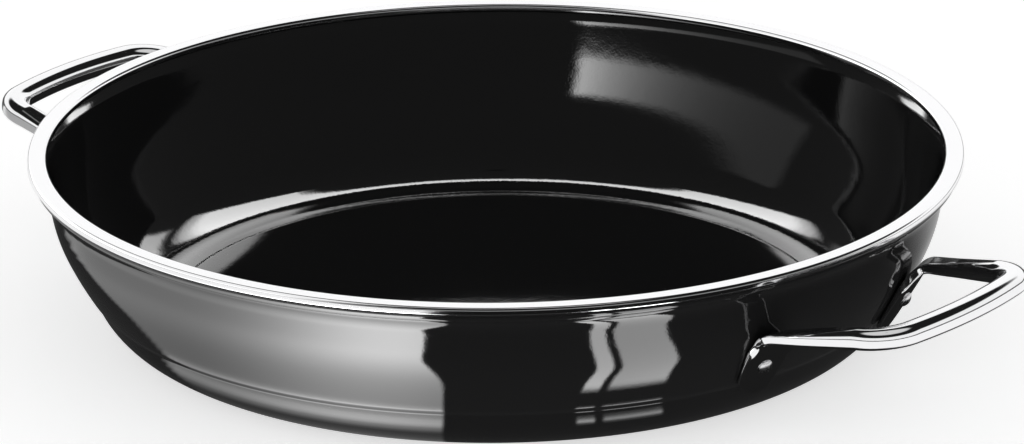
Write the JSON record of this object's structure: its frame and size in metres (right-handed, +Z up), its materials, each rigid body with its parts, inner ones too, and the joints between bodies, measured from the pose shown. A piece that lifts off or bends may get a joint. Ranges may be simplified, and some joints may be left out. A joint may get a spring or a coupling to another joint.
{
  "type": "serving pan",
  "caption": "Wide, shallow serving pan in black enamelled steel, with a polished steel rim and looped steel side handles held to the wall by studs.",
  "frame": {"origin": "centre of the base, on the surface that the pan stands on", "axes": "+X out through the right handle, +Y towards the pan's back, +Z up out of the mouth"},
  "size_m": [0.3674, 0.292, 0.056],
  "materials": {
    "black_enamel": "glossy black vitreous enamel on sheet steel",
    "rim_steel": "mirror-polished stainless steel",
    "handle_steel": "polished stainless steel",
    "stud_steel": "tumbled stainless steel"
  },
  "bodies": {
    "root": {"pan_body": "black_enamel", "rim_ring": "rim_steel", "handle_right": "handle_steel", "handle_left": "handle_steel", "stud_right_front": "stud_steel", "stud_right_back": "stud_steel", "stud_left_front": "stud_steel", "stud_left_back": "stud_steel"}
  },
  "joints": []
}
